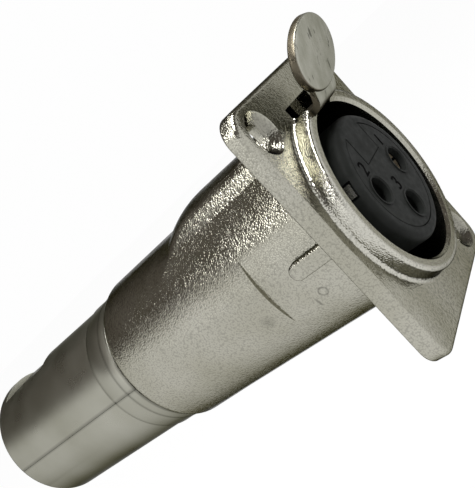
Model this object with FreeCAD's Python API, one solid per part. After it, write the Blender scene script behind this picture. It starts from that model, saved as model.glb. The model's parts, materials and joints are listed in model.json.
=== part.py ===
"""Three-pole panel feedthrough: a latching socket in front of the panel, a pin barrel behind it.

Frame: the origin is the centre of the flange's rear face, on the common axis.
The socket mouth faces -Y, the pin barrel points along +Y, and the latch is on top, at +Z.
"""
import os

import FreeCAD
import Part
from FreeCAD import Vector
from math import acos, asin, atan2, cos, hypot, radians, sin, sqrt, tan

os.makedirs("parts", exist_ok=True)

# Flange and mounting screws
flange_width = 26.0
flange_height = 31.0
flange_thickness = 2.0
flange_corner = 2.5
flange_front_edge = 0.6
flange_rear_edge = 0.3
screw_edge_distance = 3.5
screw_hole_r = 1.6
screw_sink_r = 2.45

# Raised collar round the socket mouth
collar_height = 1.9
collar_wall = 1.5
collar_draft = 0.12
collar_edge = 0.35
collar_foot = 0.45
mouth_chamfer = 0.33

# Body casting behind the flange
body_wall = 1.15
body_taper = 0.4
body_end_round = 1.2
body_foot = 0.4
plug_bore_r = 9.6
plug_depth = 14.0
lip_length = 2.0
lip_gap = 0.25
rear_wall = 1.4
witness_notch_r = 0.4

# Latch housing on top of the body
fairing_rise = 1.05
fairing_length = 20.2
fairing_flat_length = 14.1
fairing_slope_r = 13.6
fairing_base_half = 5.7
fairing_top_half = 4.0
fairing_wall_foot = 1.6
fairing_edge = 1.2
ramp_rise = 0.9
ramp_length = 6.5
ramp_inset = 0.7

# Locating ribs and reliefs on the two sides
rib_half = 0.95
rib_length = 5.7
rib_rise = 0.65
relief_length = 10.1
relief_half = 4.6
relief_depth = 0.34

# Latch lever, its tunnel and its pivot
lever_half = 2.1
lever_thickness = 0.7
lever_bore_gap = 0.02
lever_side_gap = 0.3
lever_corner = 0.25
neck_half = 3.0
neck_side_gap = 0.35
shoulder_half = 3.7
shoulder_width_run = 1.2
tab_width = 11.4
tab_height = 7.2
tab_thickness = 1.0
tab_tilt = 24.0
tab_edge = 0.28
tab_standoff = 5.05
tab_centre_z = 13.92
neck_step = 0.3
bend_r = 1.3
hook_half = 1.6
hook_front = 3.2
hook_ramp = 2.4
hook_flat = 1.6
hook_depth = 0.88
pivot_y = 16.0
pivot_rise = 0.43
pivot_r = 0.5
pivot_gap = 0.03
pivot_blind = 4.0
eye_r = 0.8
lever_swing = 5.2
lever_rest_gap = 0.05
roof_gap = 0.12
slot_top_gap = 0.05

# Leaf spring above the lever
spring_thickness = 0.25
spring_half = 1.5
spring_y = 10.6
spring_bend_r = 8.0

# Socket insert: keyed sleeve and core
insert_r = 7.65
insert_proud = 0.35
insert_edge = 0.8
insert_flange_length = 3.0
insert_fit = 0.05
core_r = 6.33
core_gap = 0.04
core_chamfer = 0.12
core_flange_step = 0.57
core_flange_length = 2.5
key_half = 2.3
key_floor = 2.5

# Contacts, on one pin circle for both ends
pin_circle_r = 3.96
contact_angles = (0.0, 180.0, 270.0)
socket_hole_r = 1.45
socket_rim_r = 1.75
socket_rim_height = 0.12
socket_hole_depth = 0.7
socket_r = 1.75
socket_bore_r = 1.22
socket_bore_depth = 13.0
socket_slot = 0.35
socket_slot_length = 8.5
socket_setback = 1.3
socket_first_lead = 0.5
socket_waist = 0.15
socket_collar_r = 2.05
socket_collar_length = 1.2
cavity_gap = 0.08
tail_r = 1.0
cup_r = 0.7
cup_depth = 3.4
socket_tail_length = 3.0
wire_core_r = 0.62
wire_cover_r = 0.9
wire_bare_length = 0.2

# Pin end
pin_r = 1.19
pin_setback = 2.5
pin_nose = 0.7
pin_seat_depth = 4.3
pin_shank_r = 1.36
pin_collar_r = 1.7
pin_collar_length = 1.2
pin_tail_setback = 3.6
pin_hole_gap = 0.02
cavity_depth = 18.0
carrier_gap = 0.05
carrier_flange_length = 2.5
carrier_pad_r = 2.1
carrier_pad_height = 0.35
spacer_length = 5.0
spacer_wall_r = 6.0

# Rear shell, a separate casting
barrel_length = 30.0
spigot_length = 8.0
shell_r = 9.5
root_step = 0.26
ring_step = 0.16
root_length = 1.7
ring_length = 2.9
shell_wall = 1.5
shell_edge = 0.6
shell_mouth_chamfer = 0.35
spigot_fit = 0.03
seam_width = 0.2
seam_depth = 0.1
window_half = 3.2
window_length = 6.0
pocket_length = 4.6
pocket_depth = 0.82
rim_length = 1.9

# Snap ring that locks the rear shell into the body
snap_setback = 4.7
snap_width = 0.8
snap_wall = 0.8
snap_reach = 0.3
snap_gap = 0.05
snap_opening = 3.0

# Earth spring in the side of the sleeve
earth_angle = 72.0
earth_half = 0.7
earth_thickness = 0.3
earth_groove_r = 7.15
earth_front = -3.5
earth_rise = 0.55
earth_bow = 12.0
earth_side_gap = 0.25
earth_foot_gap = 0.01

# Radii that follow from the sizes above
collar_r = plug_bore_r + collar_wall
body_front_r = plug_bore_r + body_wall
body_rear_r = body_front_r - body_taper
rear_bore_r = body_rear_r - rear_wall
fairing_r = body_front_r + fairing_rise
ramp_r = fairing_r + ramp_rise
rib_reach = body_front_r + rib_rise
lip_bore_r = insert_r + lip_gap
insert_flange_r = rear_bore_r - insert_fit
core_flange_r = core_r + core_flange_step
shell_bore_r = shell_r - shell_wall
carrier_r = shell_bore_r - carrier_gap
snap_outer_r = rear_bore_r + snap_reach
snap_inner_r = snap_outer_r - snap_wall

# Places along the axis, from the socket mouth to the end of the barrel
flange_front = -flange_thickness
collar_front = flange_front - collar_height
insert_front = collar_front - insert_proud
lip_end = plug_depth + lip_length
insert_rear = lip_end + insert_flange_length
collar_seat = insert_rear - core_flange_length
socket_tail_end = insert_rear + socket_tail_length
carrier_start = insert_rear + spacer_length
spigot_start = carrier_start + carrier_flange_length
pin_tail_start = carrier_start + pin_tail_setback
body_length = spigot_start + spigot_length
snap_y = body_length - snap_setback
shell_end = body_length + barrel_length
carrier_face = shell_end - cavity_depth
pin_seat = carrier_face - pin_seat_depth
pin_tip = shell_end - pin_setback
pocket_end = shell_end - rim_length
window_end = pocket_end - pocket_length
window_start = window_end - window_length

# Places of the latch
lever_underside = plug_bore_r + lever_bore_gap
lever_top = lever_underside + lever_thickness
pivot_z = lever_underside + pivot_rise
slot_half = neck_half + neck_side_gap
tunnel_half = lever_half + lever_side_gap
tilt = radians(tab_tilt)


def at_plane_yz(x):
    """Places outline points (y, z) in the plane at this x."""
    return lambda u, v: Vector(x, u, v)


def at_plane_xz(y):
    """Places outline points (x, z) in the plane at this y."""
    return lambda u, v: Vector(u, y, v)


def turned_plane(u, v):
    """Places outline points (radius, y) for a turned solid."""
    return Vector(u, v, 0)


def rounded_face(points, place):
    """Makes a face from corners (u, v) or (u, v, radius), with each radius as a tangent arc."""
    edges = []
    count = len(points)
    starts = []
    for i, corner in enumerate(points):
        u, v = corner[0], corner[1]
        radius = corner[2] if len(corner) > 2 else 0.0
        if radius == 0.0:
            starts.append(((u, v), None, (u, v)))
            continue
        before = points[i - 1]
        after = points[(i + 1) % count]
        du, dv = before[0] - u, before[1] - v
        eu, ev = after[0] - u, after[1] - v
        dl, el = hypot(du, dv), hypot(eu, ev)
        du, dv, eu, ev = du / dl, dv / dl, eu / el, ev / el
        half = atan2(abs(du * ev - dv * eu), du * eu + dv * ev) / 2
        run = radius / tan(half)
        mu, mv = du + eu, dv + ev
        ml = hypot(mu, mv)
        reach = radius / sin(half) - radius
        middle = (u + mu / ml * reach, v + mv / ml * reach)
        starts.append(((u + du * run, v + dv * run), middle, (u + eu * run, v + ev * run)))
    for i, (enter, middle, leave) in enumerate(starts):
        if middle is not None:
            arc = Part.Arc(place(*enter), place(*middle), place(*leave))
            edges.append(arc.toShape())
        following = starts[(i + 1) % count][0]
        if hypot(leave[0] - following[0], leave[1] - following[1]) > 1e-7:
            edges.append(Part.LineSegment(place(*leave), place(*following)).toShape())
    return Part.Face(Part.Wire(edges))


def turned(points):
    """Turns an outline of (radius, y) corners round the Y axis."""
    face = rounded_face(points, turned_plane)
    return face.revolve(Vector(0, 0, 0), Vector(0, 1, 0), 360)


def rod(radius, y_start, y_end, x=0.0, z=0.0):
    return Part.makeCylinder(radius, y_end - y_start, Vector(x, y_start, z), Vector(0, 1, 0))


def block(x_half, y_start, y_end, z_start, z_end):
    size = (2 * x_half, y_end - y_start, z_end - z_start)
    return Part.makeBox(*size, Vector(-x_half, y_start, z_start))


def side_profile(points, half_width):
    """Extrudes a (y, z) outline equally to both sides of the middle plane."""
    face = rounded_face(points, at_plane_yz(-half_width))
    return face.extrude(Vector(2 * half_width, 0, 0))


def contact_places():
    """Centres (x, z) of poles 1, 2 and 3, the same at both ends."""
    places = []
    for angle in contact_angles:
        places.append((pin_circle_r * cos(radians(angle)), pin_circle_r * sin(radians(angle))))
    return places


def save(name, shape):
    shape = shape.removeSplitter()
    shape.exportStep("parts/%s.step" % name)
    print("%-18s solids %d valid %s volume %.2f" % (name, len(shape.Solids), shape.isValid(), shape.Volume))


def flange_plate():
    plate = block(flange_width / 2, flange_front, 0, -flange_height / 2, flange_height / 2)
    corners = [e for e in plate.Edges if abs(e.tangentAt(e.FirstParameter).y) > 0.99]
    plate = plate.makeFillet(flange_corner, corners)
    front = [e for e in plate.Edges if abs(e.BoundBox.YMax - flange_front) < 1e-4]
    rear = [e for e in plate.Edges if abs(e.BoundBox.YMin) < 1e-4]
    plate = plate.makeFillet(flange_front_edge, front)
    rear = [e for e in plate.Edges if abs(e.BoundBox.YMin) < 1e-4 and abs(e.BoundBox.YMax) < 1e-4]
    return plate.makeFillet(flange_rear_edge, rear)


def collar_and_body():
    """Outer form of the collar and the round body, as one turned solid."""
    collar_base_r = collar_r + collar_draft
    foot_r = collar_base_r + 3 * collar_foot
    inside = flange_front / 2
    foot_body_r = body_front_r + 3 * body_foot
    return turned([
        (0, collar_front),
        (collar_r, collar_front, collar_edge),
        (collar_base_r, flange_front, collar_foot),
        (foot_r, flange_front),
        (foot_r, inside),
        (foot_body_r, inside),
        (foot_body_r, 0),
        (body_front_r, 0, body_foot),
        (body_rear_r, body_length, body_end_round),
        (0, body_length),
    ])


def drafted_pad(crown, base_half, top_half, length, edge):
    """Part of a turned crown between two drafted side walls, with its two long top edges rounded."""
    section = rounded_face([
        (-base_half, plug_bore_r / 2),
        (-base_half, body_rear_r - fairing_wall_foot),
        (-top_half, ramp_r),
        (top_half, ramp_r),
        (base_half, body_rear_r - fairing_wall_foot),
        (base_half, plug_bore_r / 2),
    ], at_plane_xz(0))
    pad = crown.common(section.extrude(Vector(0, length, 0)))
    rim = []
    for e in pad.Edges:
        box = e.BoundBox
        if box.ZMax > body_rear_r and abs(e.CenterOfMass.x) > 1 and box.YLength > 1:
            rim.append(e)
    return pad.makeFillet(edge, rim)


def fairing():
    """Raised latch housing: a pad whose rear end curves down into the body, and a ramp at the flange."""
    slope = asin((fairing_length - fairing_flat_length) / fairing_slope_r)
    corner_y = fairing_flat_length + fairing_slope_r * tan(slope / 2)
    inside_r = body_rear_r - 1.0
    inside_y = corner_y + (fairing_r - inside_r) / tan(slope)
    crown = turned([
        (0, 0),
        (fairing_r, 0),
        (fairing_r, corner_y, fairing_slope_r),
        (inside_r, inside_y),
        (0, inside_y),
    ])
    pad = drafted_pad(crown, fairing_base_half, fairing_top_half, inside_y, fairing_edge)
    ramp = turned([(0, 0), (ramp_r, 0), (fairing_r, ramp_length), (0, ramp_length)])
    ramp = drafted_pad(ramp, fairing_base_half - ramp_inset, fairing_top_half - ramp_inset, ramp_length, fairing_edge / 2)
    return pad.fuse(ramp)


def side_relief(side):
    """Shallow relief cut into one side of the body, behind the flange, that runs out to nothing above and below."""
    end_r = body_front_r - body_taper * relief_length / body_length
    inset = end_r - sqrt(end_r ** 2 - relief_half ** 2)
    rise = inset - relief_depth
    relief_r = (rise ** 2 + relief_half ** 2) / (2 * rise)
    kept = rod(relief_r, -1, relief_length + 1, end_r - relief_depth - relief_r, 0)
    cutter = Part.makeBox(4, relief_length, 2 * relief_half + 2, Vector(body_rear_r - 2.6, 0, -relief_half - 1))
    cutter = cutter.cut(kept)
    if side < 0:
        cutter = cutter.mirror(Vector(0, 0, 0), Vector(1, 0, 0))
    return cutter


def side_rib(side):
    """Pill-shaped rib that centres the body in the panel hole."""
    face = rounded_face([
        (-0.5, -rib_half),
        (rib_length, -rib_half, rib_half * 0.99),
        (rib_length, rib_half, rib_half * 0.99),
        (-0.5, rib_half),
    ], lambda u, v: Vector(plug_bore_r + 0.3, u, v))
    rib = face.extrude(Vector(rib_reach - plug_bore_r - 0.3, 0, 0))
    outer = [e for e in rib.Edges if abs(e.BoundBox.XMin - rib_reach) < 1e-4]
    rib = rib.makeFillet(0.3, outer)
    if side < 0:
        rib = rib.mirror(Vector(0, 0, 0), Vector(1, 0, 0))
    return rib


def lifted_top(y):
    """Height of the lever's top at y when the lever is fully lifted."""
    rest = lever_top - pivot_z
    swing = radians(lever_swing)
    return pivot_z + rest * cos(swing) + (pivot_y - y) * sin(swing)


def slot_top():
    """Top of the slot in the flange, just above the lifted lever."""
    return lifted_top(flange_front) + slot_top_gap


def leaf_roof():
    """Height of the tunnel's roof over the leaf spring."""
    room_for_lever = lifted_top(spring_y - spring_bend_r / 2) + roof_gap
    room_for_leaf = lifted_top(spring_y) + spring_thickness + roof_gap / 2
    return max(room_for_lever, room_for_leaf)


def latch_tunnel():
    """Space for the lever: the slot in the flange and collar, and the tunnel over the bore."""
    floor = plug_bore_r - 0.9
    eye_roof = pivot_z + eye_r + roof_gap
    flat_start = spring_y - spring_bend_r / 2
    tunnel_end = pivot_y + eye_r + 0.3
    tunnel = side_profile([
        (-0.1, floor),
        (-0.1, min(lifted_top(-0.1) + roof_gap, slot_top())),
        (flat_start, leaf_roof()),
        (pivot_y - 1.8, leaf_roof()),
        (pivot_y - eye_r, eye_roof),
        (tunnel_end, eye_roof),
        (tunnel_end, rear_bore_r - 0.6),
        (pivot_y - eye_r - 0.2, rear_bore_r - 0.6),
        (pivot_y - eye_r - 0.2, floor),
    ], tunnel_half)
    ledge = lever_underside - lever_rest_gap
    slot = block(slot_half, collar_front - 1, 0, ledge, slot_top())
    slot_foot = block(tunnel_half, collar_front - 1, 0, floor, slot_top())
    collar_gap = block(slot_half, collar_front - 1, flange_front, ledge, collar_r + 2)
    pivot_hole = Part.makeCylinder(pivot_r, pivot_blind + body_front_r,
                                   Vector(-pivot_blind, pivot_y, pivot_z), Vector(1, 0, 0))
    return tunnel.fuse([slot, slot_foot, collar_gap, pivot_hole])


def housing():
    shape = collar_and_body().fuse([flange_plate(), fairing()])
    for side in (-1, 1):
        shape = shape.cut(side_relief(side))
    shape = shape.fuse([side_rib(-1), side_rib(1)])
    bore = turned([
        (0, collar_front - 1),
        (plug_bore_r + mouth_chamfer + 1, collar_front - 1),
        (plug_bore_r, collar_front + mouth_chamfer),
        (plug_bore_r, plug_depth, 0.3),
        (lip_bore_r, plug_depth),
        (lip_bore_r, lip_end),
        (rear_bore_r, lip_end),
        (rear_bore_r, snap_y - snap_gap),
        (snap_outer_r + snap_gap, snap_y - snap_gap),
        (snap_outer_r + snap_gap, snap_y + snap_width),
        (rear_bore_r, snap_y + snap_width),
        (rear_bore_r, body_length + 1),
        (0, body_length + 1),
    ])
    shape = shape.cut(bore)
    shape = shape.cut(latch_tunnel())
    for side in (-1, 1):
        x = side * (flange_width / 2 - screw_edge_distance)
        z = -side * (flange_height / 2 - screw_edge_distance)
        sink_depth = screw_sink_r - screw_hole_r
        hole = rod(screw_hole_r, flange_front - 1, 1, x, z)
        sink = Part.makeCone(screw_sink_r, screw_hole_r, sink_depth, Vector(x, flange_front, z), Vector(0, 1, 0))
        shape = shape.cut(hole).cut(sink)
    notch_x = -(body_rear_r - body_end_round / 2)
    notch = Part.makeCylinder(witness_notch_r, 2, Vector(notch_x - 1, body_length, -0.35), Vector(1, 0, 0))
    return shape.cut(notch.common(Part.makeBox(4, 4, 4, Vector(notch_x - 1.2, body_length - 2, -2.35))))


def rear_shell():
    shell_root_r = shell_r + root_step
    shell_ring_r = shell_r + ring_step
    root_end = body_length + root_length
    ring_end = root_end + ring_length
    spigot_r = rear_bore_r - spigot_fit
    groove_r = snap_inner_r - snap_gap
    shape = turned([
        (shell_bore_r, spigot_start),
        (spigot_r, spigot_start),
        (spigot_r, snap_y),
        (groove_r, snap_y),
        (groove_r, snap_y + snap_width + snap_gap),
        (spigot_r, snap_y + snap_width + snap_gap),
        (spigot_r, body_length),
        (shell_root_r, body_length, 0.1),
        (shell_root_r, root_end, 0.08),
        (shell_ring_r, root_end + 0.12),
        (shell_ring_r, ring_end, 0.08),
        (shell_r, ring_end + 0.15),
        (shell_r, shell_end, shell_edge),
        (shell_bore_r + shell_mouth_chamfer, shell_end),
        (shell_bore_r, shell_end - shell_mouth_chamfer),
    ])
    window = block(window_half, window_start, window_end, shell_bore_r / 2, shell_r + 1)
    edges = [e for e in window.Edges if abs(e.tangentAt(e.FirstParameter).z) > 0.99]
    window = window.makeFillet(0.5, edges)
    pocket = block(shell_r, window_end - 0.6, pocket_end, shell_r - pocket_depth, shell_r + 1)
    shape = shape.cut(window).cut(pocket)
    stretches = [
        (shell_root_r, body_length, root_end),
        (shell_ring_r, root_end, ring_end),
        (shell_r, ring_end, shell_end + 1),
    ]
    for side in (-1, 1):
        for radius, start, end in stretches:
            seam = Part.makeBox(2 * seam_depth, end - start, seam_width,
                                Vector(side * radius - seam_depth, start, -seam_width / 2))
            shape = shape.cut(seam)
    return shape


def core_outline(gap):
    """Round outline with a flat-bottomed keyway on top, moved out or in by gap."""
    radius = core_r + gap
    half = key_half - gap
    floor = key_floor + gap
    corner_z = sqrt(radius ** 2 - half ** 2)
    top_left = Vector(-half, 0, corner_z)
    top_right = Vector(half, 0, corner_z)
    low_left = Vector(-half, 0, floor)
    low_right = Vector(half, 0, floor)
    arc = Part.Arc(top_right, Vector(0, 0, -radius), top_left).toShape()
    lines = [
        Part.LineSegment(top_left, low_left).toShape(),
        Part.LineSegment(low_left, low_right).toShape(),
        Part.LineSegment(low_right, top_right).toShape(),
    ]
    return Part.Face(Part.Wire([arc] + lines))


def core_prism(gap, y_start, y_end):
    face = core_outline(gap)
    face.translate(Vector(0, y_start, 0))
    return face.extrude(Vector(0, y_end - y_start, 0))


def turn_about_axis(shape, angle):
    """Turns a shape from the top towards -X by this angle, in degrees."""
    return shape.rotated(Vector(0, 0, 0), Vector(0, -1, 0), angle) if angle else shape


def earth_groove():
    groove = block(earth_half + earth_side_gap, earth_front - earth_side_gap, insert_rear + 1,
                   earth_groove_r, insert_r + 2)
    return turn_about_axis(groove, earth_angle)


def socket_sleeve():
    shape = turned([
        (0, insert_front),
        (insert_r, insert_front, insert_edge),
        (insert_r, lip_end),
        (insert_flange_r, lip_end),
        (insert_flange_r, insert_rear),
        (0, insert_rear),
    ])
    shape = shape.cut(core_prism(core_gap, insert_front - 1, insert_rear + 1))
    shape = shape.cut(rod(core_flange_r + core_gap, collar_seat, insert_rear + 1))
    return shape.cut(earth_groove())


def socket_core():
    shape = core_prism(0, insert_front, insert_rear - core_flange_length / 2)
    face = core_outline(0)
    face.translate(Vector(0, insert_front, 0))
    front = [e for e in shape.Edges if abs(e.BoundBox.YMax - insert_front) < 1e-4]
    shape = shape.makeChamfer(core_chamfer, front)
    flange = rod(core_flange_r, collar_seat, insert_rear)
    rims = []
    for x, z in contact_places():
        rims.append(rod(socket_rim_r, insert_front - socket_rim_height, insert_front + 1, x, z))
    shape = shape.fuse([flange] + rims)
    cavity_start = insert_front + socket_hole_depth
    cavity_r = socket_r + cavity_gap
    for x, z in contact_places():
        mouth = Part.makeCone(socket_hole_r + 0.15, socket_hole_r, 0.15,
                              Vector(x, insert_front - socket_rim_height, z), Vector(0, 1, 0))
        hole = rod(socket_hole_r, insert_front - 1, cavity_start, x, z)
        cavity = rod(cavity_r, cavity_start, insert_rear + 1, x, z)
        collar_room = rod(socket_collar_r + cavity_gap, collar_seat, insert_rear + 1, x, z)
        shape = shape.cut(hole).cut(cavity).cut(collar_room).cut(mouth)
    return shape


def spacer_tube():
    return rod(insert_flange_r, insert_rear, carrier_start).cut(rod(spacer_wall_r, insert_rear - 1, carrier_start + 1))


def pin_carrier():
    shape = turned([
        (0, carrier_start),
        (insert_flange_r, carrier_start),
        (insert_flange_r, spigot_start),
        (carrier_r, spigot_start),
        (carrier_r, carrier_face, 0.2),
        (0, carrier_face),
    ])
    pads = [rod(carrier_pad_r, carrier_face - 1, carrier_face + carrier_pad_height, x, z) for x, z in contact_places()]
    shape = shape.fuse(pads)
    for x, z in contact_places():
        hole = rod(pin_shank_r + pin_hole_gap, carrier_start, carrier_face + 2, x, z)
        cavity = rod(pin_collar_r + pin_hole_gap, carrier_start - 1, pin_seat, x, z)
        shape = shape.cut(hole).cut(cavity)
    return shape


def solder_cup(shape, y_mouth, y_floor, x, z):
    """Bores a cup into a tail and opens its upper side, where the wire is laid in."""
    low, high = min(y_mouth, y_floor), max(y_mouth, y_floor)
    shape = shape.cut(rod(cup_r, low, high, x, z))
    window_low = low if y_mouth < y_floor else low + 1.2
    window_high = high if y_mouth > y_floor else high - 1.2
    window = Part.makeBox(2 * tail_r, window_high - window_low, 2 * tail_r, Vector(x - tail_r, window_low, z + 0.25))
    return shape.cut(window)


def socket_contact(number, x, z):
    start = insert_front + socket_setback
    if number == 1:
        start -= socket_first_lead
    collar_end = collar_seat + socket_collar_length
    shape = turned([
        (0, start),
        (socket_r, start, 0.35),
        (socket_r, start + 1.2),
        (socket_r - socket_waist, start + 1.6),
        (socket_r - socket_waist, collar_seat),
        (socket_collar_r, collar_seat),
        (socket_collar_r, collar_end, 0.2),
        (tail_r, collar_end),
        (tail_r, socket_tail_end),
        (0, socket_tail_end),
    ])
    bore_end = insert_front + socket_setback + socket_bore_depth
    bore = turned([
        (0, start - 1),
        (socket_bore_r + 0.2, start - 1),
        (socket_bore_r + 0.2, start),
        (socket_bore_r, start + 0.25),
        (socket_bore_r, bore_end),
        (0, bore_end + 0.6),
    ])
    shape = shape.cut(bore)
    for slot in (Part.makeBox(4, socket_slot_length, socket_slot, Vector(-2, start - 0.1, -socket_slot / 2)),
                 Part.makeBox(socket_slot, socket_slot_length, 4, Vector(-socket_slot / 2, start - 0.1, -2))):
        shape = shape.cut(slot)
    shape.translate(Vector(x, 0, z))
    return solder_cup(shape, socket_tail_end, socket_tail_end - cup_depth, x, z)


def male_pin(x, z):
    shape = turned([
        (0, pin_tail_start),
        (tail_r, pin_tail_start),
        (tail_r, pin_seat - pin_collar_length - 0.6),
        (pin_collar_r, pin_seat - pin_collar_length),
        (pin_collar_r, pin_seat),
        (pin_shank_r, pin_seat),
        (pin_shank_r, carrier_face + carrier_pad_height),
        (pin_r, carrier_face + carrier_pad_height),
        (pin_r, pin_tip, pin_nose),
        (0, pin_tip),
    ])
    shape.translate(Vector(x, 0, z))
    return solder_cup(shape, pin_tail_start, pin_tail_start + cup_depth, x, z)


def link_wire(x, z):
    start = socket_tail_end - cup_depth
    end = pin_tail_start + cup_depth
    cover_start = socket_tail_end + wire_bare_length
    cover_end = pin_tail_start - wire_bare_length
    shape = turned([
        (0, start),
        (wire_core_r, start),
        (wire_core_r, cover_start),
        (wire_cover_r, cover_start, 0.1),
        (wire_cover_r, cover_end, 0.1),
        (wire_core_r, cover_end),
        (wire_core_r, end),
        (0, end),
    ])
    shape.translate(Vector(x, 0, z))
    return shape


def tab_point(along, behind):
    """Point (y, z) of the tilted tab: along its face from the centre, and behind its face."""
    centre_y = flange_front - tab_standoff
    y = centre_y - along * sin(tilt) + behind * cos(tilt)
    z = tab_centre_z + along * cos(tilt) + behind * sin(tilt)
    return y, z


def line_meets_height(point, height):
    """Where the tab's slanted line through a point (y, z) reaches this height."""
    y, z = point
    return y - (height - z) * tan(tilt), height


def latch_lever():
    """Push tab, bent neck, strip, hook and pivot eye, all one piece."""
    neck_top = -tab_height / 2 + 1.2
    front_top = tab_point(neck_top, neck_step)
    back_top = tab_point(neck_top, neck_step + lever_thickness)
    front_corner = line_meets_height(front_top, lever_underside)
    back_corner = line_meets_height(back_top, lever_top)
    strip_end = pivot_y
    strip = [
        front_top,
        (front_corner[0], front_corner[1], bend_r),
        (strip_end, lever_underside),
        (strip_end, lever_top),
        (back_corner[0], back_corner[1], bend_r - lever_thickness),
        back_top,
    ]
    wide_until = -0.35
    wide = side_profile(strip, shoulder_half)
    plan = rounded_face([
        (-neck_half, front_corner[0] - 0.2),
        (-neck_half, wide_until, 0.6),
        (-lever_half, wide_until, 0.5),
        (-lever_half, strip_end),
        (lever_half, strip_end),
        (lever_half, wide_until, 0.5),
        (neck_half, wide_until, 0.6),
        (neck_half, front_corner[0] - 0.2),
        (shoulder_half, front_corner[0] - 0.2 - shoulder_width_run, 0.5),
        (shoulder_half, tab_point(tab_height, 0)[0]),
        (-shoulder_half, tab_point(tab_height, 0)[0]),
        (-shoulder_half, front_corner[0] - 0.2 - shoulder_width_run, 0.5),
    ], lambda u, v: Vector(u, v, 0))
    strip_solid = wide.common(plan.extrude(Vector(0, 0, flange_height)))

    centre = tab_point(0, 0)
    normal = Vector(0, cos(tilt), sin(tilt))
    up = Vector(0, -sin(tilt), cos(tilt))
    ellipse = Part.Ellipse(Vector(0, 0, 0), tab_width / 2, tab_height / 2)
    disc = Part.Face(Part.Wire(ellipse.toShape())).extrude(Vector(0, 0, tab_thickness))
    disc = disc.makeFillet(tab_edge, [e for e in disc.Edges if e.Length > tab_width])
    placement = FreeCAD.Placement(Vector(0, centre[0], centre[1]),
                                  FreeCAD.Rotation(Vector(1, 0, 0), up, normal, "ZXY"))
    disc.Placement = placement

    tip = lever_underside - hook_depth
    hook = side_profile([
        (hook_front, lever_underside + 0.2),
        (hook_front, lever_underside),
        (hook_front + hook_ramp, tip, 0.3),
        (hook_front + hook_ramp + hook_flat, tip, 0.15),
        (hook_front + hook_ramp + hook_flat, lever_underside + 0.2),
    ], hook_half)
    eye = Part.makeCylinder(eye_r, 2 * lever_half, Vector(-lever_half, pivot_y, pivot_z), Vector(1, 0, 0))
    shape = strip_solid.fuse([disc, hook, eye])
    eye_hole = Part.makeCylinder(pivot_r + pivot_gap, 4 * lever_half,
                                 Vector(-2 * lever_half, pivot_y, pivot_z), Vector(1, 0, 0))
    return shape.cut(eye_hole)


def latch_pivot_pin():
    flush_x = fairing_base_half - 0.45
    pin = Part.makeCylinder(pivot_r, flush_x + pivot_blind, Vector(-pivot_blind, pivot_y, pivot_z), Vector(1, 0, 0))
    ends = [e for e in pin.Edges if e.Closed and e.BoundBox.XLength < 1e-4]
    return pin.makeChamfer(0.1, ends)


def latch_spring():
    """Bowed leaf: its middle presses on the lever, its ends bear on the tunnel's roof."""
    centre_z = lever_top + spring_bend_r
    inner_r = spring_bend_r - spring_thickness
    half_angle = acos((centre_z - leaf_roof()) / inner_r)

    def place(radius, angle):
        return Vector(-spring_half, spring_y + radius * sin(angle), centre_z - radius * cos(angle))

    under = Part.Arc(*[place(spring_bend_r, a) for a in (-half_angle, 0, half_angle)])
    over = Part.Arc(*[place(inner_r, a) for a in (half_angle, 0, -half_angle)])
    end = Part.LineSegment(under.EndPoint, over.StartPoint)
    start = Part.LineSegment(over.EndPoint, under.StartPoint)
    wire = Part.Wire([under.toShape(), end.toShape(), over.toShape(), start.toShape()])
    return Part.Face(wire).extrude(Vector(2 * spring_half, 0, 0))


def earth_spring():
    """Bowed strip in the sleeve's side that touches the plug's shell, with a foot at the rear."""
    low = earth_groove_r
    bow_end = earth_front + earth_bow
    middle = (earth_front + bow_end) / 2
    top = low + earth_thickness
    over = Part.Arc(Vector(0, bow_end, top), Vector(0, middle, top + earth_rise), Vector(0, earth_front, top))
    under = Part.Arc(Vector(0, earth_front, low), Vector(0, middle, low + earth_rise), Vector(0, bow_end, low))
    foot_top = sqrt((rear_bore_r - earth_foot_gap) ** 2 - earth_half ** 2)
    foot_front = insert_rear - earth_thickness
    path = [
        Vector(0, bow_end, low),
        Vector(0, insert_rear, low),
        Vector(0, insert_rear, foot_top),
        Vector(0, foot_front, foot_top),
        Vector(0, foot_front, top),
        Vector(0, bow_end, top),
    ]
    edges = [under.toShape()]
    for a, b in zip(path, path[1:]):
        edges.append(Part.LineSegment(a, b).toShape())
    edges.append(over.toShape())
    edges.append(Part.LineSegment(Vector(0, earth_front, top), Vector(0, earth_front, low)).toShape())
    face = Part.Face(Part.Wire(edges))
    face.translate(Vector(-earth_half, 0, 0))
    return turn_about_axis(face.extrude(Vector(2 * earth_half, 0, 0)), earth_angle)


def snap_ring():
    ring = rod(snap_outer_r, snap_y, snap_y + snap_width).cut(rod(snap_inner_r, snap_y - 1, snap_y + snap_width + 1))
    gap = block(snap_opening / 2, snap_y - 1, snap_y + snap_width + 1, -snap_outer_r - 1, 0)
    return ring.cut(gap)


save("front_housing", housing())
save("rear_shell", rear_shell())
save("socket_sleeve", socket_sleeve())
save("socket_core", socket_core())
save("spacer_tube", spacer_tube())
save("pin_carrier", pin_carrier())
for pole, (pole_x, pole_z) in enumerate(contact_places(), start=1):
    save("socket_contact_%d" % pole, socket_contact(pole, pole_x, pole_z))
    save("male_pin_%d" % pole, male_pin(pole_x, pole_z))
    save("link_wire_%d" % pole, link_wire(pole_x, pole_z))
save("latch_lever", latch_lever())
save("latch_pivot_pin", latch_pivot_pin())
save("latch_spring", latch_spring())
save("earth_spring", earth_spring())
save("snap_ring", snap_ring())
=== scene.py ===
import json
from math import radians

import bpy
from mathutils import Matrix, Vector

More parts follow.
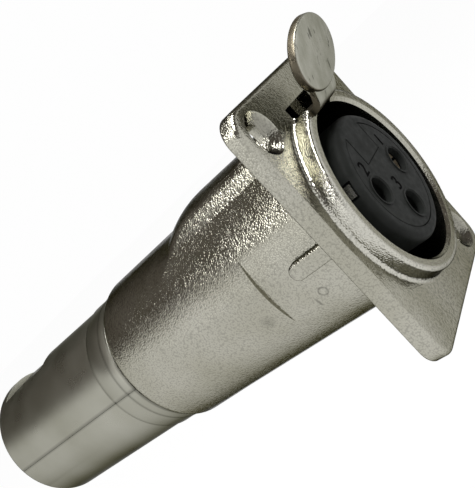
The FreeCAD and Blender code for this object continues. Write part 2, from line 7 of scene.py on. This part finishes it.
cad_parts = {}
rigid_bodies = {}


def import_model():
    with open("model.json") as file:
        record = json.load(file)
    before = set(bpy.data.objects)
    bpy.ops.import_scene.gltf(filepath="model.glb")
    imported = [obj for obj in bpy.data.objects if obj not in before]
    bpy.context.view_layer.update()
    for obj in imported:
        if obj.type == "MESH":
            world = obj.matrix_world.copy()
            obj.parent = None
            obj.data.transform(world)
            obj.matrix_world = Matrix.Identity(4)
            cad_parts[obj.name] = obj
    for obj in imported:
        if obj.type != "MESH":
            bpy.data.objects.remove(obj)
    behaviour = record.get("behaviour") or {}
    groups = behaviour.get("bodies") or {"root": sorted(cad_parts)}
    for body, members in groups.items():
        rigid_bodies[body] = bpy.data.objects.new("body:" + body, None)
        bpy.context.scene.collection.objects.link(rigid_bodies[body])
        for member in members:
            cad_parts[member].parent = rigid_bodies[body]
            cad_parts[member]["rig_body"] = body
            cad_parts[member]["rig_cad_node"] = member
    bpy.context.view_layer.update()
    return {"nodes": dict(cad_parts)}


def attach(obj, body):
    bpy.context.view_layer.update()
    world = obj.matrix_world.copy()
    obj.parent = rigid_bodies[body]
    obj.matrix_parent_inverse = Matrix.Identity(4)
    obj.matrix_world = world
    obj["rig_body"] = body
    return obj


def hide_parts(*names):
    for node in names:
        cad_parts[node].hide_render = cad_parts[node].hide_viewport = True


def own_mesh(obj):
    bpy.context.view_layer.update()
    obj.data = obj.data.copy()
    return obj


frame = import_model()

# The front housing is one zinc pressure casting: flange, raised collar, tapered body and the latch
# housing on its back. It is barrel plated with nickel over the rippled skin as cast. Its colour
# holds a painted highlight on the collar's wall and painted shade in the countersinks and the
# peel's dips.
crease_angle = 28
weld_gap = 0.000001


def skin_of(node, name, angle=crease_angle):
    """A welded, smooth shaded copy of a solid, which stands for it."""
    bpy.ops.object.select_all(action="DESELECT")
    solid = frame["nodes"][node]
    bpy.context.view_layer.objects.active = solid
    solid.select_set(True)
    bpy.ops.object.duplicate()
    skin = bpy.context.view_layer.objects.active
    skin.name = name
    skin.data.name = name
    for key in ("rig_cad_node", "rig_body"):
        if key in skin:
            del skin[key]
    skin.parent = None
    bpy.ops.mesh.customdata_custom_splitnormals_clear()
    bpy.ops.object.mode_set(mode="EDIT")
    bpy.ops.mesh.select_all(action="SELECT")
    bpy.ops.mesh.remove_doubles(threshold=weld_gap)
    bpy.ops.object.mode_set(mode="OBJECT")
    bpy.ops.object.shade_smooth_by_angle(angle=radians(angle))
    skin.data.materials.clear()
    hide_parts(node)
    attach(skin, "latch" if node == "latch_lever" else "housing")
    return skin


def new_material(name, colour, roughness, metallic):
    """A material with a plain colour and finish, which stand in wherever its nodes aren't read."""
    material = bpy.data.materials.new(name)
    material.use_nodes = True
    shader = material.node_tree.nodes["Principled BSDF"]
    shader.inputs["Base Color"].default_value = (*colour, 1)
    shader.inputs["Roughness"].default_value = roughness
    shader.inputs["Metallic"].default_value = metallic
    material.diffuse_color = (*colour, 1)
    return material, shader


def noise(tree, scale, detail, rough=0.5, stretch=(1, 1, 1)):
    """Noise over the piece's own coordinates, in features per metre."""
    place = tree.nodes.new("ShaderNodeTexCoord")
    mapping = tree.nodes.new("ShaderNodeMapping")
    mapping.inputs["Scale"].default_value = stretch
    texture = tree.nodes.new("ShaderNodeTexNoise")
    texture.inputs["Scale"].default_value = scale
    texture.inputs["Detail"].default_value = detail
    texture.inputs["Roughness"].default_value = rough
    tree.links.new(place.outputs["Object"], mapping.inputs["Vector"])
    tree.links.new(mapping.outputs["Vector"], texture.inputs["Vector"])
    return texture.outputs["Fac"]


def ramp(tree, value, stops):
    """A colour ramp on a value, with stops of (place, colour or grey)."""
    node = tree.nodes.new("ShaderNodeValToRGB")
    node.color_ramp.elements[0].position = stops[0][0]
    node.color_ramp.elements[1].position = stops[-1][0]
    for stop in stops[1:-1]:
        node.color_ramp.elements.new(stop[0])
    for element, (_, colour) in zip(node.color_ramp.elements, stops):
        if not isinstance(colour, tuple):
            colour = (colour, colour, colour)
        element.color = (*colour, 1)
    tree.links.new(value, node.inputs["Fac"])
    return node.outputs["Color"]


def bump(tree, shader, height, depth, strength, under=None):
    """Raises the surface by up to depth metres, over an earlier bump if there is one."""
    node = tree.nodes.new("ShaderNodeBump")
    node.inputs["Distance"].default_value = depth
    node.inputs["Strength"].default_value = strength
    tree.links.new(height, node.inputs["Height"])
    if under is not None:
        tree.links.new(under, node.inputs["Normal"])
    tree.links.new(node.outputs["Normal"], shader.inputs["Normal"])
    return node.outputs["Normal"]


def near(tree, point, reach, stretch):
    """The distance from a point of the piece, each way weighed by stretch, as a share of reach."""
    place = tree.nodes.new("ShaderNodeTexCoord")
    offset = tree.nodes.new("ShaderNodeVectorMath")
    offset.operation = "SUBTRACT"
    offset.inputs[1].default_value = point
    weighed = tree.nodes.new("ShaderNodeVectorMath")
    weighed.operation = "MULTIPLY"
    weighed.inputs[1].default_value = [share / reach for share in stretch]
    length = tree.nodes.new("ShaderNodeVectorMath")
    length.operation = "LENGTH"
    tree.links.new(place.outputs["Object"], offset.inputs[0])
    tree.links.new(offset.outputs["Vector"], weighed.inputs[0])
    tree.links.new(weighed.outputs["Vector"], length.inputs[0])
    return length.outputs["Value"]


def times(tree, first, second):
    """Two colours or greys multiplied."""
    node = tree.nodes.new("ShaderNodeMixRGB")
    node.blend_type = "MULTIPLY"
    node.inputs["Fac"].default_value = 1
    tree.links.new(first, node.inputs["Color1"])
    tree.links.new(second, node.inputs["Color2"])
    return node.outputs["Color"]


def over(tree, under, colour, share):
    """A plain colour laid over another by a share from 0 to 1."""
    node = tree.nodes.new("ShaderNodeMixRGB")
    node.inputs["Color2"].default_value = (*colour, 1)
    tree.links.new(share, node.inputs["Fac"])
    tree.links.new(under, node.inputs["Color1"])
    return node.outputs["Color"]


def peel(tree, scale):
    """Orange peel: close set domes of uneven height, 1 on a dome and 0 in the dips between them."""
    place = tree.nodes.new("ShaderNodeTexCoord")
    cells = tree.nodes.new("ShaderNodeTexVoronoi")
    cells.inputs["Scale"].default_value = scale
    tree.links.new(place.outputs["Object"], cells.inputs["Vector"])
    profile = [(0.0, 1.0), (0.3, 0.82), (0.55, 0.4), (0.85, 0.0)]
    domes = ramp(tree, cells.outputs["Distance"], profile)
    uneven = ramp(tree, noise(tree, 0.45 * scale, 2), [(0.35, 0.6), (0.65, 1.0)])
    return times(tree, domes, uneven)


housing_skin = skin_of("front_housing", "housing_skin")
nickel_cast, shader = new_material("nickel_cast", (0.60, 0.59, 0.55), 0.3, 1.0)
tree = nickel_cast.node_tree
patches = [(0.3, (0.38, 0.37, 0.305)), (0.7, (0.46, 0.45, 0.39))]
plate = ramp(tree, noise(tree, 130, 3), patches)

# A painted highlight: the plate is made lighter on the collar's wall.
collar_highlight_plate = (0.56, 0.55, 0.49)
from_axis = near(tree, (0, 0, 0), 0.0222, (1, 0, 1))
from_middle = near(tree, (0, -0.003, 0), 0.0011, (0, 1, 0))
collar_wall = ramp(tree, from_axis, [(0.475, 0.0), (0.483, 1.0), (0.515, 1.0), (0.525, 0.0)])
collar_depth = ramp(tree, from_middle, [(0.85, 1.0), (1.0, 0.0)])
plate = over(tree, plate, collar_highlight_plate, times(tree, collar_wall, collar_depth))

domes = peel(tree, 5000)
# The dips between the domes are painted darker, as painted shade in the hollows of the peel.
plate = times(tree, plate, ramp(tree, domes, [(0.08, 0.77), (0.4, 1.0)]))

# Painted shade darkens the plate in the two countersinks.
countersink_shade = [(0.8, 0.62), (1.0, 1.0)]
left_countersink = ((-0.0095, -0.002, 0.012), 0.0026, (1, 1.2, 1), countersink_shade)
right_countersink = ((0.0095, -0.002, -0.012), 0.0026, (1, 1.2, 1), countersink_shade)
cast_ring = ((-0.0099, 0.0049, -0.0034), 0.001, (0.1, 1, 1),
             [(0.35, 1.0), (0.5, 0.55), (0.65, 1.0)])
cast_stroke = ((-0.0097, 0.0063, -0.0041), 0.0007, (0.1, 3.5, 0.9), [(0.4, 0.6), (1.0, 1.0)])
# A darker patch on the body's side behind the flat relief, painted shade where the surface turns.
side_shade_patch = ((-0.0102, 0.0124, -0.0027), 0.0012, (1, 1, 1), [(0.2, 0.8), (1.0, 1.0)])
for point, reach, stretch, shade in (
        cast_ring, cast_stroke, side_shade_patch, left_countersink, right_countersink):
    plate = times(tree, plate, ramp(tree, near(tree, point, reach, stretch), shade))
tree.links.new(plate, shader.inputs["Base Color"])

# A very dark tint on the nickel's reflection at grazing angles, painted shade that darkens the
# outlines.
grazing_shade_tint = (0.08, 0.08, 0.07, 1)
shader.inputs["Specular Tint"].default_value = grazing_shade_tint
smears = ramp(tree, noise(tree, 420, 5), [(0.3, 0.13), (0.75, 0.22)])
tree.links.new(smears, shader.inputs["Roughness"])
ripple = bump(tree, shader, noise(tree, 1900, 2), 0.00009, 0.3)
bump(tree, shader, domes, 0.000022, 1.0, ripple)
housing_skin.data.materials.append(nickel_cast)

# The rear shell is a second, smaller casting that plugs into the body and is kept there by the snap
# ring. Its die was polished, so the nickel over it is satin and nearly free of ripple. Painted
# shade darkens its joint with the body and both edges of its raised band, and a darker line marks
# the parting seam along its sides.
shell_skin = skin_of("rear_shell", "shell_skin")
nickel_satin, shader = new_material("nickel_satin", (0.58, 0.575, 0.54), 0.3, 1.0)
tree = nickel_satin.node_tree
cloud = [(0.3, (0.34, 0.335, 0.28)), (0.7, (0.43, 0.425, 0.37))]
plate = ramp(tree, noise(tree, 90, 3), cloud)

dark_line_reach = 0.0004
body_joint = ((0, 0.0346, 0), (0, 1, 0), 0.55)
band_start = ((0, 0.0362, 0), (0, 1, 0), 0.66)
band_end = ((0, 0.0391, 0), (0, 1, 0), 0.72)
parting_seam = ((0, 0, 0), (0, 0, 1), 0.66)
# Painted shade along the joint and the band's edges, and a plain darker line along the parting
# seam.
for point, across, shade in (body_joint, band_start, band_end, parting_seam):
    line = near(tree, point, dark_line_reach, across)
    plate = times(tree, plate, ramp(tree, line, [(0.15, shade), (1.0, 1.0)]))
tree.links.new(plate, shader.inputs["Base Color"])

# The same painted grazing shade darkens the shell's outlines.
shader.inputs["Specular Tint"].default_value = grazing_shade_tint
satin = ramp(tree, noise(tree, 300, 3), [(0.3, 0.27), (0.75, 0.32)])
tree.links.new(satin, shader.inputs["Roughness"])
bump(tree, shader, noise(tree, 260, 2), 0.00004, 0.1)
shell_skin.data.materials.append(nickel_satin)

# The insert is two black mouldings, a sleeve and a core that slides into it. The plastic is glass
# filled, so it is matt and faintly speckled.
black_plastic, shader = new_material("black_plastic", (0.013, 0.014, 0.013), 0.6, 0.0)
shader.inputs["Specular IOR Level"].default_value = 0.08
tree = black_plastic.node_tree
speckle = [(0.3, (0.008, 0.009, 0.008)), (0.75, (0.014, 0.015, 0.014))]
tree.links.new(ramp(tree, noise(tree, 700, 4), speckle), shader.inputs["Base Color"])
matt = ramp(tree, noise(tree, 1500, 3), [(0.3, 0.52), (0.7, 0.68)])
tree.links.new(matt, shader.inputs["Roughness"])
bump(tree, shader, noise(tree, 6500, 3), 0.000012, 0.5)
for node, name in (("socket_sleeve", "sleeve_skin"), ("socket_core", "core_skin")):
    insert_skin = skin_of(node, name)
    insert_skin.data.materials.append(black_plastic)

# The pole numbers are moulded on the core's face beside the holes, a hair proud of it. They are in
# the same plastic but coloured a deeper black than the face.
digit_black, shader = new_material("digit_black", (0.001, 0.001, 0.001), 0.8, 0.0)
shader.inputs["Specular IOR Level"].default_value = 0.02
tree = digit_black.node_tree
dusty = ramp(tree, noise(tree, 3000, 2), [(0.3, 0.7), (0.7, 0.9)])
tree.links.new(dusty, shader.inputs["Roughness"])
core_face = -0.00425
digit_proud = 0.00004
digit_share_of_size = 0.7
for digit, x, z, height in (("1", 0.0037, 0.0028, 0.00145), ("2", -0.00385, 0.00265, 0.00165),
                            ("3", -0.00015, -0.0012, 0.00165)):
    bpy.ops.object.select_all(action="DESELECT")
    bpy.ops.object.text_add(location=(x, core_face, z), rotation=(radians(90), 0, 0))
    number = bpy.context.object
    number.data.body = digit
    number.data.align_x = "CENTER"
    number.data.align_y = "CENTER"
    number.data.size = height / digit_share_of_size
    number.data.extrude = digit_proud
    bpy.ops.object.convert(target="MESH")
    bpy.ops.object.transform_apply(location=True, rotation=True, scale=True)
    number.name = "digit_" + digit
    number.data.name = "digit_" + digit
    number.data.materials.append(digit_black)
    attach(number, "housing")


# The pin carrier and the spacer tube are mouldings of the same black plastic, hidden in the body.
# They hold the pins at the right depth and keep the two inserts apart.
def dress(node, material):
    """A new material on a solid that shows as it is."""
    slots = frame["nodes"][node].data.materials
    slots.clear()
    slots.append(material)


dress("pin_carrier", black_plastic)
dress("spacer_tube", black_plastic)

# The three socket contacts are turned from bronze and sit deep in the holes, and their colour is
# painted dark as shade. The three pins are brass under bright silver. The turning leaves fine rings
# round them.
turned_rings = (1, 40, 1)
for node, name, dark, light, roughness in (
        ("socket_contact_%d", "shaded_contact", (0.06, 0.05, 0.035), (0.12, 0.10, 0.07), 0.45),
        ("male_pin_%d", "pin_silver", (0.56, 0.53, 0.44), (0.68, 0.66, 0.58), 0.24)):
    turned, shader = new_material(name, light, roughness, 1.0)
    tree = turned.node_tree
    # The tone varies at random, and for the contacts the whole range is dark, as painted shade.
    tone_and_shade = ramp(tree, noise(tree, 900, 3), [(0.3, dark), (0.7, light)])
    tree.links.new(tone_and_shade, shader.inputs["Base Color"])
    bump(tree, shader, noise(tree, 300, 2, 0.5, turned_rings), 0.00001, 0.4)
    for pole in (1, 2, 3):
        dress(node % pole, turned)

# Short insulated wires join each contact to the pin behind it, soldered into cups at both ends.
# Their cover is red extruded plastic, a little uneven in its colour.
wire_cover, shader = new_material("wire_cover", (0.42, 0.05, 0.035), 0.4, 0.0)
tree = wire_cover.node_tree
reds = [(0.3, (0.36, 0.04, 0.03)), (0.7, (0.48, 0.07, 0.045))]
tree.links.new(ramp(tree, noise(tree, 600, 3), reds), shader.inputs["Base Color"])
for pole in (1, 2, 3):
    dress("link_wire_%d" % pole, wire_cover)

# The latch lever is stamped from spring steel, bent at the neck and nickel plated. Its thumb tab is
# satin, with fine drawing lines and a few pits, and the sheared rim round it is painted darker and
# browner, as a painted dark reflection.
lever_crease_angle = 30
lever_skin = skin_of("latch_lever", "lever_skin", lever_crease_angle)
lever_steel, shader = new_material("lever_steel", (0.52, 0.52, 0.48), 0.36, 1.0)
tree = lever_steel.node_tree
worn = [(0.3, (0.33, 0.33, 0.275)), (0.7, (0.48, 0.475, 0.42))]
plate = ramp(tree, noise(tree, 380, 5, 0.65, (1.3, 1, 0.7)), worn)
pits = ramp(tree, noise(tree, 760, 2, 0.5, (1.6, 1, 0.8)), [(0.63, 0.0), (0.69, 1.0)])
plate = times(tree, plate, ramp(tree, pits, [(0.0, 1.0), (1.0, 0.45)]))

place = tree.nodes.new("ShaderNodeTexCoord")
split = tree.nodes.new("ShaderNodeSeparateXYZ")
facing = tree.nodes.new("ShaderNodeMath")
facing.operation = "ABSOLUTE"
tree.links.new(place.outputs["Normal"], split.inputs["Vector"])
tree.links.new(split.outputs["Y"], facing.inputs[0])
# Painted reflection: where the normal turns away from the Y axis, the rim is coloured dark brown.
rim = ramp(tree, facing.outputs["Value"], [(0.45, (0.30, 0.265, 0.225)), (0.8, 1.0)])
tree.links.new(times(tree, plate, rim), shader.inputs["Base Color"])

shader.inputs["Specular Tint"].default_value = (0.4, 0.4, 0.37, 1)
satin = ramp(tree, noise(tree, 500, 4), [(0.3, 0.30), (0.7, 0.42)])
tree.links.new(satin, shader.inputs["Roughness"])
drawn = bump(tree, shader, noise(tree, 500, 2, 0.5, (6, 1, 1)), 0.00004, 0.5)
sunk = ramp(tree, pits, [(0.0, 1.0), (1.0, 0.0)])
pitted = bump(tree, shader, sunk, 0.00004, 0.8, drawn)
bump(tree, shader, noise(tree, 4200, 2), 0.00002, 0.35, pitted)
lever_skin.data.materials.append(lever_steel)

# The springs, the pivot pin and the snap ring are bright rolled or drawn steel, plain and unplated.
# The latch's return spring is a bowed leaf under the roof of its housing, and the lifted lever
# presses it flat.
spring_steel, shader = new_material("spring_steel", (0.66, 0.66, 0.65), 0.22, 1.0)
tree = spring_steel.node_tree
rolled = ramp(tree, noise(tree, 800, 3), [(0.3, 0.18), (0.7, 0.3)])
tree.links.new(rolled, shader.inputs["Roughness"])
bump(tree, shader, noise(tree, 1200, 2, 0.5, (1, 8, 1)), 0.000008, 0.4)
for node in ("latch_pivot_pin", "earth_spring", "snap_ring"):
    dress(node, spring_steel)
leaf_skin = skin_of("latch_spring", "leaf_skin")
leaf_skin.data.materials.append(spring_steel)
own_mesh(leaf_skin)

# The floor is a plain white sheet well below the part. The surround is white up to a little above
# the horizon and dim and faintly warm overhead, as a room is. Four soft boxes light the part, most
# of them long and narrow.
bpy.ops.object.select_all(action="DESELECT")
bpy.ops.mesh.primitive_plane_add(size=6, location=(0, 0, -0.06))
floor = bpy.context.object
floor.name = "floor"


def white_share(tree, top):
    """A factor of top for rays that see the background: camera, glossy and transmission rays."""
    rays = tree.nodes.new("ShaderNodeLightPath")
    seen = rays.outputs["Is Camera Ray"]
    for kind in ("Is Glossy Ray", "Is Transmission Ray"):
        either = tree.nodes.new("ShaderNodeMath")
        either.operation = "MAXIMUM"
        tree.links.new(seen, either.inputs[0])
        tree.links.new(rays.outputs[kind], either.inputs[1])
        seen = either.outputs["Value"]
    share = tree.nodes.new("ShaderNodeMath")
    share.operation = "MULTIPLY"
    share.inputs[1].default_value = top
    tree.links.new(seen, share.inputs[0])
    return share.outputs["Value"]


floor_glow = 0.97
floor_white, shader = new_material("floor_white", (0.9, 0.9, 0.9), 0.9, 0.0)
tree = floor_white.node_tree
glow = tree.nodes.new("ShaderNodeEmission")
glow.inputs["Strength"].default_value = 1.0
mix = tree.nodes.new("ShaderNodeMixShader")
tree.links.new(white_share(tree, floor_glow), mix.inputs["Fac"])
tree.links.new(shader.outputs["BSDF"], mix.inputs[1])
tree.links.new(glow.outputs["Emission"], mix.inputs[2])
tree.links.new(mix.outputs["Shader"], tree.nodes["Material Output"].inputs["Surface"])
floor.data.materials.append(floor_white)

world = bpy.data.worlds.new("surround")
bpy.context.scene.world = world
world.use_nodes = True
tree = world.node_tree
surround = tree.nodes["Background"]
place = tree.nodes.new("ShaderNodeTexCoord")
split = tree.nodes.new("ShaderNodeSeparateXYZ")
tree.links.new(place.outputs["Generated"], split.inputs["Vector"])
horizon_to_top = [(0.28, 0.99), (0.42, (0.11, 0.097, 0.084)), (1.0, (0.2, 0.18, 0.16))]
overhead = ramp(tree, split.outputs["Z"], horizon_to_top)
tree.links.new(overhead, surround.inputs["Color"])


def soft_box(name, place, target, width, depth, power):
    """A rectangular lamp that faces a target, its width as level with the X axis as it can be."""
    bpy.ops.object.light_add(type="AREA", location=place)
    lamp = bpy.context.object
    lamp.name = name
    lamp.data.shape = "RECTANGLE"
    lamp.data.size = width
    lamp.data.size_y = depth
    lamp.data.energy = power
    back = (Vector(place) - Vector(target)).normalized()
    along = (Vector((1, 0, 0)) - back.x * back).normalized()
    lamp.rotation_euler = Matrix((along, back.cross(along), back)).transposed().to_euler()


soft_box("key_light", (-0.02, -0.15, 0.39), (0, 0, 0), 0.50, 0.11, 3.2)
soft_box("back_light", (0.05, 0.125, 0.39), (0, 0, 0), 0.36, 0.06, 0.5)
soft_box("side_light", (-0.25, 0.14, 0.29), (0, 0, 0), 0.20, 0.06, 0.3)
soft_box("fill_light", (-0.36, 0.22, 0.20), (0, 0.02, 0), 0.30, 0.20, 0.12)

# The camera stands to the socket's left and a little above it, rolled as the photograph is. The
# shift only sets the framing, and keeps the thumb tab in the picture.
bpy.ops.object.camera_add(location=(-0.07455, -0.03648, 0.01470),
                          rotation=(1.32123, 0.76060, -1.07171))
camera = bpy.context.object
camera.data.sensor_width = 36
camera.data.lens = 57.84
camera.data.shift_y = 0.150
camera.data.clip_start = 0.005
bpy.context.scene.camera = camera
bpy.context.scene.view_settings.view_transform = "Standard"
